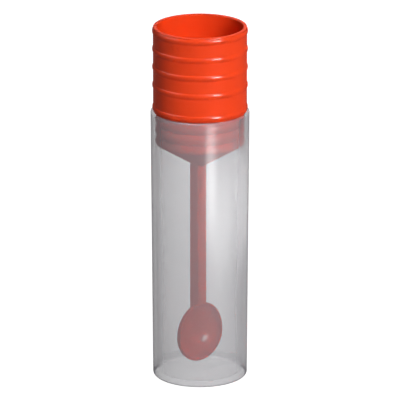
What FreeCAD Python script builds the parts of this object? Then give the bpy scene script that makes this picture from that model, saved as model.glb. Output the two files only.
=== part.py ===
"""Specimen collection tube with a push-in spoon stopper, in millimetres.

Two mouldings: a slightly tapered translucent tube with a closed flat bottom, and a one-piece stopper
whose hollow beaded grip runs on into a hollow sealing plug, a cone, a square stem and a small spoon.
The origin is the centre of the tube's underside, +Z runs up the tube's axis, and the spoon's hollow
opens towards -Y. The stopper is drawn from its shoulder, the face that rests on the tube's rim.
"""
import FreeCAD
import Part
import os
import Sketcher

ORIGIN = (-1, 1)            # a sketch's origin point, as geometry index and point number
TOLERANCE = 1e-4

# Every size that can be chosen by itself. Angles are in degrees and counts are whole numbers.
SIZES = {
    # tube
    "tube_height": 70.25,
    "rim_diameter": 25.0,          # outside, at the mouth
    "base_diameter": 24.0,         # outside, where the wall's slope would reach the underside
    "tube_wall": 1.1,
    "floor_thickness": 1.2,
    "base_edge_radius": 0.8,
    "floor_corner_radius": 1.0,
    "lip_radius": 0.4,             # outer edge of the rim
    "mouth_edge_radius": 0.15,
    # grip of the stopper
    "grip_height": 22.0,
    "rim_ledge": 0.64,             # width of the tube's rim that stays in view round the grip
    "grip_wall": 1.05,
    "grip_edge_radius": 0.25,      # both edges of the open top
    "shoulder_edge_radius": 0.15,
    "shoulder_thickness": 1.6,     # from the shoulder up to where the grip's hollow steps in
    "finger_bead_rise": 0.21,
    "finger_bead_width": 1.5,
    "finger_bead_pitch": 4.7,
    "finger_bead_count": 4,
    "first_bead_drop": 1.1,        # top of the grip to the middle of the highest finger bead
    "lower_bead_height": 0.95,     # shoulder to the middle of the lowest finger bead
    # plug
    "seal_clearance": 0.05,        # lowest seal bead to the tube's bore, on the radius
    "seal_bead_rise": 0.7,
    "seal_bead_pitch": 2.85,
    "seal_bead_count": 3,
    "first_seal_depth": 2.2,       # shoulder to the middle of the highest seal bead
    "plug_wall": 1.05,
    "cone_slope": 31.5,            # degrees below level
    "cone_bite": 0.5,              # how far up the cone cuts into the lowest seal bead, at the core
    "cone_edge_radius": 0.6,       # where that bead runs on into the cone
    "hollow_floor_radius": 3.2,
    # stem
    "stem_width": 3.1,             # along X
    "stem_depth": 3.15,            # along Y
    "stem_edge_radius": 0.4,
    "stem_offset": 0.67,           # stem's middle behind the tube's axis, along +Y
    "stem_root_cover": 0.8,        # plastic between the stem's end and the hollow's floor
    # spoon
    "bowl_width": 14.8,
    "bowl_upper_length": 8.6,      # bowl's widest place to its end at the stem
    "bowl_lower_length": 6.8,      # bowl's widest place to its tip
    "bowl_depth": 4.3,
    "bowl_wall": 0.6,              # where the bowl is deepest
    "bowl_rim_width": 0.4,
    "bowl_rim_setback": 0.43,      # stem's front face to the plane of the bowl's rim
    "spoon_floor_gap": 2.28,       # spoon's tip to the tube's floor
}

document = FreeCAD.newDocument("specimen_tube")
sheet = document.addObject("Spreadsheet::Sheet", "sizes")
for row, (alias, value) in enumerate(SIZES.items(), 1):
    sheet.set(f"A{row}", alias)
    sheet.set(f"B{row}", str(value))
    sheet.setAlias(f"B{row}", alias)
document.recompute()

# Sizes that follow from the sheet, written as expressions. Heights of the stopper count from its shoulder.
rim_radius = "sizes.rim_diameter / 2"
base_radius = "sizes.base_diameter / 2"
wall_lean = f"(({rim_radius} - {base_radius}) / sizes.tube_height)"
grip_radius = f"({rim_radius} - sizes.rim_ledge)"
grip_bore = f"({grip_radius} - sizes.grip_wall)"
seal_span = "(sizes.first_seal_depth + (sizes.seal_bead_count - 1) * sizes.seal_bead_pitch)"
seal_radius = f"({rim_radius} - sizes.tube_wall - {wall_lean} * {seal_span} - sizes.seal_clearance)"
core_radius = f"({seal_radius} - sizes.seal_bead_rise)"
plug_bore = f"({core_radius} - sizes.plug_wall)"
cone_top = f"(0 - {seal_span} - sizes.seal_bead_pitch / 2 + sizes.cone_bite)"
cone_rate = "tan(sizes.cone_slope * 1deg)"
cone_tip = f"({cone_top} - {core_radius} * {cone_rate})"
cone_skin = "(sizes.plug_wall / cos(sizes.cone_slope * 1deg))"
hollow_floor = f"({cone_tip} + sizes.hollow_floor_radius * {cone_rate} + {cone_skin})"
stem_front = "(sizes.stem_offset - sizes.stem_depth / 2)"
bowl_rim = f"({stem_front} + sizes.bowl_rim_setback)"
bowl_middle = "(sizes.floor_thickness + sizes.spoon_floor_gap + sizes.bowl_lower_length - sizes.tube_height)"

# Where the cone's line meets the arc of the lowest seal bead.
seal_arc = "((sizes.seal_bead_pitch ^ 2 / 4 + sizes.seal_bead_rise ^ 2) / (2 * sizes.seal_bead_rise))"
arc_middle = f"({seal_radius} - {seal_arc})"
arc_to_cone = f"((0 - {seal_span} - {cone_tip} - {arc_middle} * {cone_rate}) * cos(sizes.cone_slope * 1deg))"
cone_edge = (f"({arc_middle} + {arc_to_cone} * sin(sizes.cone_slope * 1deg)"
             f" + sqrt({seal_arc} ^ 2 - {arc_to_cone} ^ 2) * cos(sizes.cone_slope * 1deg))")


def origin_feature(body, role):
    """The body's own origin plane or axis of that role."""
    return next(item for item in body.Origin.OriginFeatures if item.Role == role)


def sketch_on(body, role, name):
    """A new sketch on one of the body's own origin planes."""
    sketch = body.newObject("Sketcher::SketchObject", name)
    sketch.AttachmentSupport = [(origin_feature(body, role), "")]
    sketch.MapMode = "FlatFace"
    return sketch


def number(expression):
    """An expression's present value."""
    return float(sheet.evalExpression(expression))


def pin(sketch, curve, end, across, up):
    """Hold one end of a curve at two expressions, or in line with the origin where one of them is 0."""
    rules = (("DistanceX", "Vertical", across), ("DistanceY", "Horizontal", up))
    for distance, in_line, expression in rules:
        if expression == "0":
            sketch.addConstraint(Sketcher.Constraint(in_line, *ORIGIN, curve, end))
            continue
        place = Sketcher.Constraint(distance, *ORIGIN, curve, end, number(expression))
        index = sketch.addConstraint(place)
        sketch.setExpression(f"Constraints[{index}]", expression)


def closed_outline(sketch, corners):
    """Straight lines round the corners, each corner an (across, up) pair of expressions."""
    points = [FreeCAD.Vector(number(across), number(up), 0) for across, up in corners]
    for start, end in zip(points, points[1:] + points[:1]):
        sketch.addGeometry(Part.LineSegment(start, end))
    for curve, (across, up) in enumerate(corners):
        following = (curve + 1) % len(corners)
        sketch.addConstraint(Sketcher.Constraint("Coincident", curve, 2, following, 1))
        pin(sketch, curve, 1, across, up)


def bead_section(sketch, radius, middle, width, rise):
    """A circle's segment that stands out of a wall of that radius."""
    low = f"({middle}) - {width} / 2"
    high = f"({middle}) + {width} / 2"
    bottom = FreeCAD.Vector(number(radius), number(low), 0)
    crest = FreeCAD.Vector(number(f"{radius} + {rise}"), number(f"({middle})"), 0)
    top = FreeCAD.Vector(number(radius), number(high), 0)
    sketch.addGeometry(Part.LineSegment(bottom, top))
    sketch.addGeometry(Part.Arc(bottom, crest, top))
    sketch.addConstraint(Sketcher.Constraint("Coincident", 0, 1, 1, 1))
    sketch.addConstraint(Sketcher.Constraint("Coincident", 0, 2, 1, 2))
    pin(sketch, 0, 1, radius, low)
    pin(sketch, 0, 2, radius, high)
    arc_radius = f"({width} * {width} / 4 + {rise} * {rise}) / (2 * {rise})"
    index = sketch.addConstraint(Sketcher.Constraint("Radius", 1, number(arc_radius)))
    sketch.setExpression(f"Constraints[{index}]", arc_radius)


def check(feature, adds):
    """Recompute, and stop if the feature failed or didn't change the volume the way it should."""
    document.recompute()
    if "Invalid" in feature.State or "Error" in feature.State or feature.Shape.isNull():
        raise RuntimeError(f"{feature.Name} failed")
    before = feature.BaseFeature.Shape.Volume if feature.BaseFeature else 0.0
    gained = feature.Shape.Volume - before
    if (gained if adds else -gained) < TOLERANCE:
        raise RuntimeError(f"{feature.Name} didn't change the volume as it should")
    return feature


def revolve(body, sketch, name, kind="PartDesign::Revolution"):
    """Turn a section once round the body's axis, to add it or, with a Groove, to cut it away."""
    turned = body.newObject(kind, name)
    turned.Profile = sketch
    turned.ReferenceAxis = (sketch, ["V_Axis"])
    turned.Angle = 360.0
    return check(turned, adds="Revolution" in kind)


def repeat(body, feature, name, pitch, count):
    """Copies of a bead down the body's axis."""
    rank = body.newObject("PartDesign::LinearPattern", name)
    rank.Originals = [feature]
    rank.Direction = (origin_feature(body, "Z_Axis"), [""])
    rank.Reversed = True
    rank.Mode = "Spacing"
    rank.setExpression("Offset", pitch)
    rank.setExpression("Occurrences", count)
    body.Tip = rank
    return check(rank, adds=True)


def ring_edge(feature, radius, height):
    """Name of the feature's full circle of that radius at that height."""
    for index, edge in enumerate(feature.Shape.Edges, 1):
        circle = edge.Curve
        if not isinstance(circle, Part.Circle) or not edge.Closed:
            continue
        errors = (circle.Radius - number(radius), circle.Center.z - number(height))
        if max(map(abs, errors)) < TOLERANCE:
            return f"Edge{index}"
    raise RuntimeError(f"{feature.Name} has no such ring")


def round_rings(body, feature, name, size, rings, adds=False):
    """Fillet the circles given as (radius, height) pairs of expressions."""
    fillet = body.newObject("PartDesign::Fillet", name)
    fillet.Base = (feature, [ring_edge(feature, radius, height) for radius, height in rings])
    fillet.setExpression("Radius", size)
    return check(fillet, adds=adds)


def upright_edges(feature, corners):
    """Names of the feature's straight edges that stand on those (across, up) corners."""
    names = []
    for across, up in corners:
        corner = FreeCAD.Vector(number(across), number(up), 0)
        for index, edge in enumerate(feature.Shape.Edges, 1):
            ends = [FreeCAD.Vector(vertex.X, vertex.Y, 0) for vertex in edge.Vertexes]
            if max(end.distanceToPoint(corner) for end in ends) < TOLERANCE:
                names.append(f"Edge{index}")
    return names


def quarter_ellipsoid(body, kind, name, radii, side, turn):
    """A quarter of an ellipsoid on the bowl's rim plane.

    Side 1 lies towards -Y, in front, and -1 behind. Turn 0 is the quarter above the bowl's middle and
    180 the one below.
    """
    quarter = body.newObject(kind, name)
    quarter.AttachmentSupport = [(origin_feature(body, "XZ_Plane"), "")]
    quarter.MapMode = "FlatFace"
    quarter.AttachmentOffset = FreeCAD.Placement(FreeCAD.Vector(), FreeCAD.Rotation(turn, 0, 0))
    quarter.setExpression(".AttachmentOffset.Base.y", bowl_middle)
    quarter.setExpression(".AttachmentOffset.Base.z", f"0 - {bowl_rim}")
    for prop, radius in zip(("Radius1", "Radius2", "Radius3"), radii):
        quarter.setExpression(prop, radius)
    quarter.Angle1 = min(0.0, 90.0 * side)
    quarter.Angle2 = max(0.0, 90.0 * side)
    quarter.Angle3 = 180.0
    return check(quarter, adds="Additive" in kind)


def make_tube():
    """The tube: one wall turned round the axis, with its floor, and rounded at lip, base and floor."""
    body = document.addObject("PartDesign::Body", "tube")
    section = sketch_on(body, "XZ_Plane", "tube_section")
    floor_radius = f"{base_radius} + {wall_lean} * sizes.floor_thickness - sizes.tube_wall"
    mouth_radius = f"{rim_radius} - sizes.tube_wall"
    closed_outline(section, [
        ("0", "0"),
        (base_radius, "0"),
        (rim_radius, "sizes.tube_height"),
        (mouth_radius, "sizes.tube_height"),
        (floor_radius, "sizes.floor_thickness"),
        ("0", "sizes.floor_thickness"),
    ])
    wall = revolve(body, section, "tube_wall_and_floor")
    lip = round_rings(body, wall, "lip", "sizes.lip_radius", [(rim_radius, "sizes.tube_height")])
    mouth = round_rings(body, lip, "mouth_edge", "sizes.mouth_edge_radius",
                        [(mouth_radius, "sizes.tube_height")])
    base = round_rings(body, mouth, "base_edge", "sizes.base_edge_radius", [(base_radius, "0")])
    round_rings(body, base, "floor_corner", "sizes.floor_corner_radius",
                [(floor_radius, "sizes.floor_thickness")], adds=True)
    return body


def make_stopper():
    """The stopper: grip, plug and cone as one turned wall, then its beads, the stem and the spoon."""
    body = document.addObject("PartDesign::Body", "spoon_stopper")
    body.setExpression(".Placement.Base.z", "sizes.tube_height")
    section = sketch_on(body, "XZ_Plane", "stopper_section")
    closed_outline(section, [
        ("0", cone_tip),
        (core_radius, cone_tip),
        (core_radius, "0"),
        (grip_radius, "0"),
        (grip_radius, "sizes.grip_height"),
        (grip_bore, "sizes.grip_height"),
        (grip_bore, "sizes.shoulder_thickness"),
        (plug_bore, f"sizes.shoulder_thickness - ({grip_bore} - {plug_bore})"),
        (plug_bore, f"{cone_tip} + {plug_bore} * {cone_rate} + {cone_skin}"),
        ("sizes.hollow_floor_radius", hollow_floor),
        ("0", hollow_floor),
    ])
    shell = revolve(body, section, "grip_plug_and_cone")
    top = round_rings(body, shell, "grip_edges", "sizes.grip_edge_radius",
                      [(grip_radius, "sizes.grip_height"), (grip_bore, "sizes.grip_height")])
    round_rings(body, top, "shoulder_edge", "sizes.shoulder_edge_radius", [(grip_radius, "0")])

    beads = (
        ("finger_bead", grip_radius, "sizes.grip_height - sizes.first_bead_drop",
         "sizes.finger_bead_width", "sizes.finger_bead_rise"),
        ("lower_bead", grip_radius, "sizes.lower_bead_height",
         "sizes.finger_bead_width", "sizes.finger_bead_rise"),
        ("seal_bead", core_radius, "0 - sizes.first_seal_depth",
         "sizes.seal_bead_pitch", "sizes.seal_bead_rise"),
    )
    patterns = {
        "finger_bead": ("sizes.finger_bead_pitch", "sizes.finger_bead_count"),
        "seal_bead": ("sizes.seal_bead_pitch", "sizes.seal_bead_count"),
    }
    for name, radius, middle, width, rise in beads:
        sketch = sketch_on(body, "XZ_Plane", f"{name}_section")
        bead_section(sketch, radius, middle, width, rise)
        ring = revolve(body, sketch, name)
        if name in patterns:
            repeat(body, ring, f"{name}s", *patterns[name])

    underside = sketch_on(body, "XZ_Plane", "cone_section")
    below = f"{cone_tip} - sizes.seal_bead_pitch"
    closed_outline(underside, [
        ("0", cone_tip),
        ("0", below),
        (rim_radius, below),
        (rim_radius, f"{cone_tip} + {rim_radius} * {cone_rate}"),
    ])
    cone = revolve(body, underside, "cone", kind="PartDesign::Groove")
    round_rings(body, cone, "cone_edge", "sizes.cone_edge_radius",
                [(cone_edge, f"{cone_tip} + {cone_edge} * {cone_rate}")])

    outline = sketch_on(body, "XY_Plane", "stem_section")
    outline.setExpression(".AttachmentOffset.Base.z", bowl_middle)
    half_width = "sizes.stem_width / 2"
    stem_back = "sizes.stem_offset + sizes.stem_depth / 2"
    corners = [
        (f"0 - {half_width}", stem_front),
        (half_width, stem_front),
        (half_width, stem_back),
        (f"0 - {half_width}", stem_back),
    ]
    closed_outline(outline, corners)
    stem = body.newObject("PartDesign::Pad", "stem")
    stem.Profile = outline
    stem.setExpression("Length", f"{hollow_floor} - sizes.stem_root_cover - {bowl_middle}")
    check(stem, adds=True)
    fillet = body.newObject("PartDesign::Fillet", "stem_edges")
    fillet.Base = (stem, upright_edges(stem, corners))
    fillet.setExpression("Radius", "sizes.stem_edge_radius")
    check(fillet, adds=False)

    add, cut = "PartDesign::AdditiveEllipsoid", "PartDesign::SubtractiveEllipsoid"
    walls = ("sizes.bowl_wall", "sizes.bowl_rim_width", "sizes.bowl_rim_width")
    lower, upper = [("sizes.bowl_depth", "sizes.bowl_width / 2", length)
                    for length in ("sizes.bowl_lower_length", "sizes.bowl_upper_length")]
    for name, outer, turn in (("lower_bowl", lower, 180), ("upper_bowl", upper, 0)):
        inner = [f"{radius} - {wall}" for radius, wall in zip(outer, walls)]
        quarter_ellipsoid(body, add, f"{name}_back", outer, -1, turn)
        quarter_ellipsoid(body, cut, f"{name}_hollow", inner, -1, turn)
    quarter_ellipsoid(body, cut, "stem_end", upper, 1, 0)
    return body


bodies = [make_tube(), make_stopper()]
document.recompute()
for item in document.Objects:
    if "Invalid" in item.State or "Error" in item.State:
        raise RuntimeError(f"{item.Name} is {item.State}")

os.makedirs("parts", exist_ok=True)
for body in bodies:
    shape = body.Shape
    if shape.isNull() or not shape.isValid() or len(shape.Solids) != 1:
        raise RuntimeError(f"{body.Label} isn't one valid solid")
    shape.exportStep(f"parts/{body.Label}.step")
    box = shape.optimalBoundingBox()
    extent = f"{box.XLength:.2f} x {box.YLength:.2f} x {box.ZLength:.2f} mm"
    print(f"{body.Label}: {shape.Volume:.1f} mm3, {extent}")
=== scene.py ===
from math import cos, pi, radians, sin

import bmesh
import bpy
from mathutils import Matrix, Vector

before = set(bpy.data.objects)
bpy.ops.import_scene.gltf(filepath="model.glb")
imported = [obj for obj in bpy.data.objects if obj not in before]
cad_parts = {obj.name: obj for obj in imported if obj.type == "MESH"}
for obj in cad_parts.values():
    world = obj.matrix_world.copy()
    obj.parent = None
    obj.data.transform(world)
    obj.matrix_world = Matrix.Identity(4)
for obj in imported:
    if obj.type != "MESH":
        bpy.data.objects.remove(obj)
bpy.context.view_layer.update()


# ---- Tube: one injection-moulded cup of clear natural plastic with a faint grey haze. It fills
# from a gate in the middle of its floor, so the haze runs in faint streaks up the wall.

class Socket:
    """An output socket of a material, usable in plain arithmetic."""

    def __init__(self, socket):
        self.socket = socket

    def node(self, kind, settings, inputs, output=0):
        """One more node in the same material: its settings first, then values or links."""
        tree = self.socket.id_data
        made = tree.nodes.new("ShaderNode" + kind)
        for name, setting in settings.items():
            setattr(made, name, setting)
        for name, value in inputs.items():
            if isinstance(value, Socket):
                tree.links.new(value.socket, made.inputs[name])
            else:
                made.inputs[name].default_value = value
        return Socket(made.outputs[output])

    def math(self, operation, first, second):
        """A Math node on two values or links."""
        return self.node("Math", {"operation": operation}, {0: first, 1: second})

    def __add__(self, other):
        return self.math("ADD", self, other)

    def __radd__(self, other):
        return self.math("ADD", other, self)

    def __sub__(self, other):
        return self.math("SUBTRACT", self, other)

    def __rsub__(self, other):
        return self.math("SUBTRACT", other, self)

    def __mul__(self, other):
        return self.math("MULTIPLY", self, other)

    def __rmul__(self, other):
        return self.math("MULTIPLY", other, self)

    def __gt__(self, other):
        return self.math("GREATER_THAN", self, other)

    def __lt__(self, other):
        return self.math("LESS_THAN", self, other)


def larger(first, second):
    """The larger of two sockets' values."""
    return first.math("MAXIMUM", first, second)


def clamped(value):
    """The value kept between 0 and 1."""
    return value.node("Clamp", {}, {"Value": value})


def blend(factor, first, second):
    """From the first colour to the second, as the factor goes from 0 to 1."""
    colour_a, colour_b, colour_result = 6, 7, 2      # the Mix node's own numbers for its sockets
    inputs = {"Factor": factor, colour_a: (*first, 1.0), colour_b: (*second, 1.0)}
    return factor.node("Mix", {"data_type": "RGBA"}, inputs, output=colour_result)


def noise(place, stretch, scale):
    """Smooth noise over the piece, from 0 to 1, with the pattern drawn out along each axis."""
    drawn = place.node("Mapping", {}, {"Vector": place, "Scale": stretch})
    return place.node("TexNoise", {}, {"Vector": drawn, "Scale": scale, "Detail": 3.0})


def rippled(place, strength):
    """The normal of a moulded skin with its fine ripple."""
    ripple = noise(place, stretch=(1.0, 1.0, 0.5), scale=900.0)
    return place.node("Bump", {}, {"Strength": strength, "Distance": 0.0002, "Height": ripple})


def new_material(name):
    """An empty node material, its Principled shader and the object coordinates as a Socket."""
    material = bpy.data.materials.new(name)
    material.use_nodes = True
    shader = material.node_tree.nodes["Principled BSDF"]
    place = Socket(shader.outputs["BSDF"]).node("TexCoord", {}, {}, output="Object")
    return material, shader, place


def feed(shader, **inputs):
    """Give the shader's sockets values or links, with _ for a space in their names."""
    for name, value in inputs.items():
        socket = shader.inputs[name.replace("_", " ")]
        if isinstance(value, Socket):
            shader.id_data.links.new(value.socket, socket)
        else:
            socket.default_value = value


haze, shader, place = new_material("tube_haze")
streaks = noise(place, stretch=(1.0, 1.0, 0.12), scale=260.0)

# Where a point lies on the cup, in metres, and which way its skin faces.
flat = place.node("VectorMath", {"operation": "MULTIPLY"}, {0: place, 1: (1.0, 1.0, 0.0)})
radius = flat.node("VectorMath", {"operation": "LENGTH"}, {0: flat}, output="Value")
height = place.node("SeparateXYZ", {}, {"Vector": place}, output="Z")
taper = 0.0071               # the wall leans outwards by this much for each metre of height
mid_wall = 0.01145 + taper * height
underside = height < 0.0004
outside = larger(radius > mid_wall, underside)
facing = place.node("NewGeometry", {}, {}, output="Normal")
upward = facing.node("SeparateXYZ", {}, {"Vector": facing}, output="Z")
level = upward * upward
edge_on = place.node("LayerWeight", {}, {"Blend": 0.5}, output="Facing")
steep = edge_on * edge_on

# The thick corner round the floor starts at this height, and is whole 1.2 mm further down.
corner_top = 0.0026
corner_fade = 830.0
corner = clamped((corner_top - height) * corner_fade)

# The ring that the cup stands on hides what is behind it, except where it is seen squarely.
foot_top = 0.0005
foot_inner_edge = 0.0115
foot_clear_until = 0.3
foot_gain = 4.0
foot_ring = (height < foot_top) * (radius > foot_inner_edge)
foot = foot_ring * clamped((edge_on - foot_clear_until) * foot_gain)

# How much of what is behind it one skin of the cup hides.
seen_squarely = 0.405
edge_gain = 0.35
streak_gain = 0.04
inner_share = 0.3            # the inner skin hides this part of what the outer one does
level_loss = 0.4             # the floor hides less
corner_gain = 0.22
density = seen_squarely + edge_gain * steep + streak_gain * (streaks - 0.5)
density = density * (inner_share + (1.0 - inner_share) * outside)
density = density * (1.0 - level_loss * level) * (1.0 + corner_gain * corner)

grey, pale_grey = (0.385, 0.380, 0.412), (0.399, 0.394, 0.428)
feed(
    shader,
    Base_Color=blend(streaks, grey, pale_grey),
    Roughness=0.23 + 0.05 * streaks,
    Specular_IOR_Level=0.0,
    Coat_Weight=0.075 + 0.01 * streaks,
    Coat_Roughness=0.24,
    Coat_IOR=4.0,
    Alpha=larger(density, foot),
    Normal=rippled(place, strength=0.03),
)
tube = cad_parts["tube"]
tube.data.materials[0] = haze


# ---- Stopper: grip, plug, stem and spoon in one soft orange-red plastic moulding that isn't
# see-through. It is pushed into the tube by hand. Its colour has a very faint cloud, and its skin
# a slight sheen.

orange, shader, place = new_material("stopper_orange")
cloud = noise(place, stretch=(1.0, 1.0, 1.0), scale=120.0)
deep_orange, light_orange = (0.86, 0.052, 0.009), (0.88, 0.060, 0.011)
feed(
    shader,
    Base_Color=blend(cloud, deep_orange, light_orange),
    Roughness=0.45 + 0.06 * cloud,
    Specular_IOR_Level=0.0,
    Coat_Weight=0.05 + 0.02 * cloud,
    Coat_Roughness=0.18,
    Coat_IOR=2.0,
    Normal=rippled(place, strength=0.04),
)
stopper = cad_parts["spoon_stopper"]
stopper.data.materials[0] = orange


# ---- Surroundings: a matt pale floor and an even pale backdrop. They look white, straight on and
# in gloss and glass, while the light that they give to the object stays low.

def looked_at(start):
    """1 for what is seen straight, mirrored or through glass, and 0 for all other light."""
    seen = start.node("LightPath", {}, {}, output="Is Camera Ray")
    for way in ("Is Glossy Ray", "Is Transmission Ray"):
        seen = larger(seen, start.node("LightPath", {}, {}, output=way))
    return seen


floor_mesh = bmesh.new()
bmesh.ops.create_grid(floor_mesh, x_segments=1, y_segments=1, size=3.0)
floor_data = bpy.data.meshes.new("floor")
floor_mesh.to_mesh(floor_data)
floor_mesh.free()
floor = bpy.data.objects.new("floor", floor_data)
bpy.context.scene.collection.objects.link(floor)
pale, shader, place = new_material("pale_floor")
floor_glow = 0.93            # with the lamps' light on the floor, this comes out white
feed(
    shader,
    Base_Color=(0.3, 0.3, 0.3, 1.0),
    Roughness=1.0,
    Specular_IOR_Level=0.0,
    Emission_Color=(1.0, 1.0, 1.0, 1.0),
    Emission_Strength=floor_glow * looked_at(place),
)
floor_data.materials.append(pale)

world = bpy.data.worlds.new("surroundings")
bpy.context.scene.world = world
world.use_nodes = True
backdrop = world.node_tree.nodes["Background"]
backdrop.inputs["Color"].default_value = (1.0, 1.0, 1.0, 1.0)
dim_glow = 0.08              # what the backdrop gives to surfaces that don't mirror it
glow = dim_glow + (1.0 - dim_glow) * looked_at(Socket(backdrop.outputs["Background"]))
world.node_tree.links.new(glow.socket, backdrop.inputs["Strength"])


# ---- Lamps: soft rectangles that the camera doesn't see. The hazy tube and the orange stopper
# each have a key lamp, three lamps light everything, and the others only show as gloss on one of
# the two pieces.

middle = Vector((0.0, 0.0, 0.04636))
view_azimuth = -43.0


def around(azimuth, elevation, distance):
    """The way from the axis to a point at that distance: azimuth 0 is -Y, and 90 is +X."""
    turned, raised = radians(azimuth), radians(elevation)
    outward = distance * cos(raised)
    return Vector((outward * sin(turned), -outward * cos(turned), distance * sin(raised)))


def aim(thing, target):
    """Turn a lamp or the camera so that it looks at the target."""
    thing.rotation_euler = (target - thing.location).to_track_quat("-Z", "Y").to_euler()


def soft_lamp(name, way, target, width, height, power):
    """A rectangular lamp that stands that way off from its target and shines at it."""
    data = bpy.data.lights.new(name, "AREA")
    data.shape = "RECTANGLE"
    data.size = width
    data.size_y = height
    data.energy = power
    made = bpy.data.objects.new(name, data)
    bpy.context.scene.collection.objects.link(made)
    made.location = target + way
    aim(made, target)
    made.visible_camera = False
    return made


def lamp(name, azimuth, elevation, distance, width, height, level):
    """A lamp on the whole object, its azimuth counted to the right from the camera's.

    At level 1 it would make a white face that is turned to it look just white.
    """
    way = around(view_azimuth + azimuth, elevation, distance)
    return soft_lamp(name, way, middle, width, height, level * (pi * distance) ** 2)


def shine_on(light, *pieces):
    """Let a lamp reach only these pieces."""
    reached = bpy.data.collections.new(light.name)
    for piece in pieces:
        reached.objects.link(piece)
    light.light_linking.receiver_collection = reached


def gloss_only(light, piece):
    """Let a lamp show only as a reflection, and only in one piece."""
    shine_on(light, piece)
    light.visible_diffuse = False


def panel(name, azimuth, distance, width, foot, top, brightness):
    """A soft panel reflected in the tube's wall, standing beside it from foot to top.

    A perfect mirror would show it this many times as bright as white.
    """
    way = around(view_azimuth + azimuth, 0.0, distance)
    centre = Vector((0.0, 0.0, 0.5 * (foot + top)))
    tall = top - foot
    gloss_only(soft_lamp(name, way, centre, width, tall, brightness * pi * width * tall), tube)


tube_key = lamp("tube_key", azimuth=12.0, elevation=31.0, distance=0.34,
                width=0.24, height=0.24, level=0.90)
shine_on(tube_key, tube, floor)

grip_middle = Vector((0.0, 0.0, 0.072))
grip_key = lamp("grip_key", azimuth=30.0, elevation=31.0, distance=0.34,
                width=0.12, height=0.12, level=0.040)
grip_key.data.spread = radians(28.0)
grip_key.visible_glossy = False
aim(grip_key, grip_middle)
shine_on(grip_key, stopper)

lamp("left", azimuth=-75.0, elevation=6.0, distance=0.6, width=0.12, height=0.24, level=0.02)
lamp("overhead", azimuth=12.0, elevation=72.0, distance=1.0, width=0.8, height=0.8, level=0.27)
lamp("back", azimuth=180.0, elevation=30.0, distance=0.8, width=0.9, height=0.6, level=0.45)

# Gloss on the stopper: along the grip's beads, down its left side, and in the spoon's hollow.
grip_gloss = lamp("grip_gloss", azimuth=24.0, elevation=31.0, distance=0.34,
                  width=0.18, height=0.18, level=0.5)
left_gloss = lamp("left_gloss", azimuth=-85.0, elevation=30.0, distance=0.35,
                  width=0.45, height=0.10, level=1.5)
spot = lamp("spot", azimuth=41.0, elevation=8.7, distance=1.5,
            width=0.48, height=0.48, level=4.2)
for gloss in (grip_gloss, left_gloss, spot):
    gloss_only(gloss, stopper)

# Gloss on the tube: round its lip, and down its wall to the right, at the side and behind.
rim = lamp("rim", azimuth=0.0, elevation=76.0, distance=0.30,
           width=0.44, height=0.44, level=20.0)
gloss_only(rim, tube)
panel("bright_panel", azimuth=23.5, distance=0.11, width=0.036,
      foot=0.008, top=0.039, brightness=38.0)
panel("side_panel", azimuth=55.0, distance=0.10, width=0.09,
      foot=0.002, top=0.029, brightness=19.0)
panel("far_panel", azimuth=114.0, distance=0.10, width=0.12,
      foot=0.002, top=0.029, brightness=15.0)


# ---- Camera: a long lens from well away, looking a little down at the object's middle, so that
# the tube's sides stay almost parallel.

camera_data = bpy.data.cameras.new("camera")
camera_data.sensor_width = 36.0
camera_data.lens = 496.5
camera_data.clip_end = 10.0
camera = bpy.data.objects.new("camera", camera_data)
bpy.context.scene.collection.objects.link(camera)
camera.location = middle + around(view_azimuth, elevation=17.7, distance=1.4)
aim(camera, middle)
bpy.context.scene.camera = camera
bpy.context.scene.view_settings.view_transform = "Standard"
